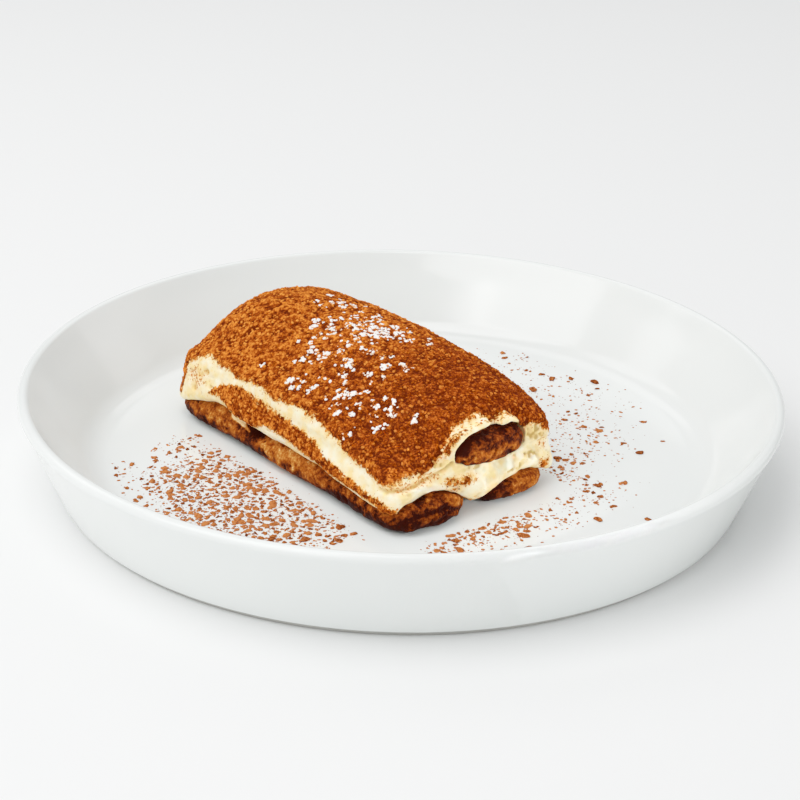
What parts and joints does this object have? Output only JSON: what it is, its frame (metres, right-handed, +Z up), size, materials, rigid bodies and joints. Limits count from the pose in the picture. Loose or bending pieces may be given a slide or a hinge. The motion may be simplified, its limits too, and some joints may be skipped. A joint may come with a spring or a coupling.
{
  "type": "tiramisu slice on a plate",
  "caption": "Oblong serving of tiramisu, cocoa-dusted cream over soaked sponge fingers, on a round straight-sided porcelain plate.",
  "frame": {"origin": "centre of the plate's foot, on the surface it stands on", "axes": "+Z up; +X across the slice, from its low left side to its high right side; +Y along the slice, from the end where the sponge fingers show to the far end"},
  "size_m": [0.23, 0.23, 0.0435],
  "materials": {
    "porcelain": "glossy white glaze",
    "soaked_sponge": "damp coffee-soaked sponge, satin to matte",
    "cream": "soft satin mascarpone cream",
    "cocoa_cream": "cream under a dry matte coat of cocoa powder"
  },
  "bodies": {
    "root": {"plate": "porcelain", "ladyfinger_bottom_left": "soaked_sponge", "ladyfinger_bottom_right": "soaked_sponge", "ladyfinger_top": "soaked_sponge", "cream_middle": "cream", "cream_top": "cocoa_cream"}
  },
  "joints": []
}
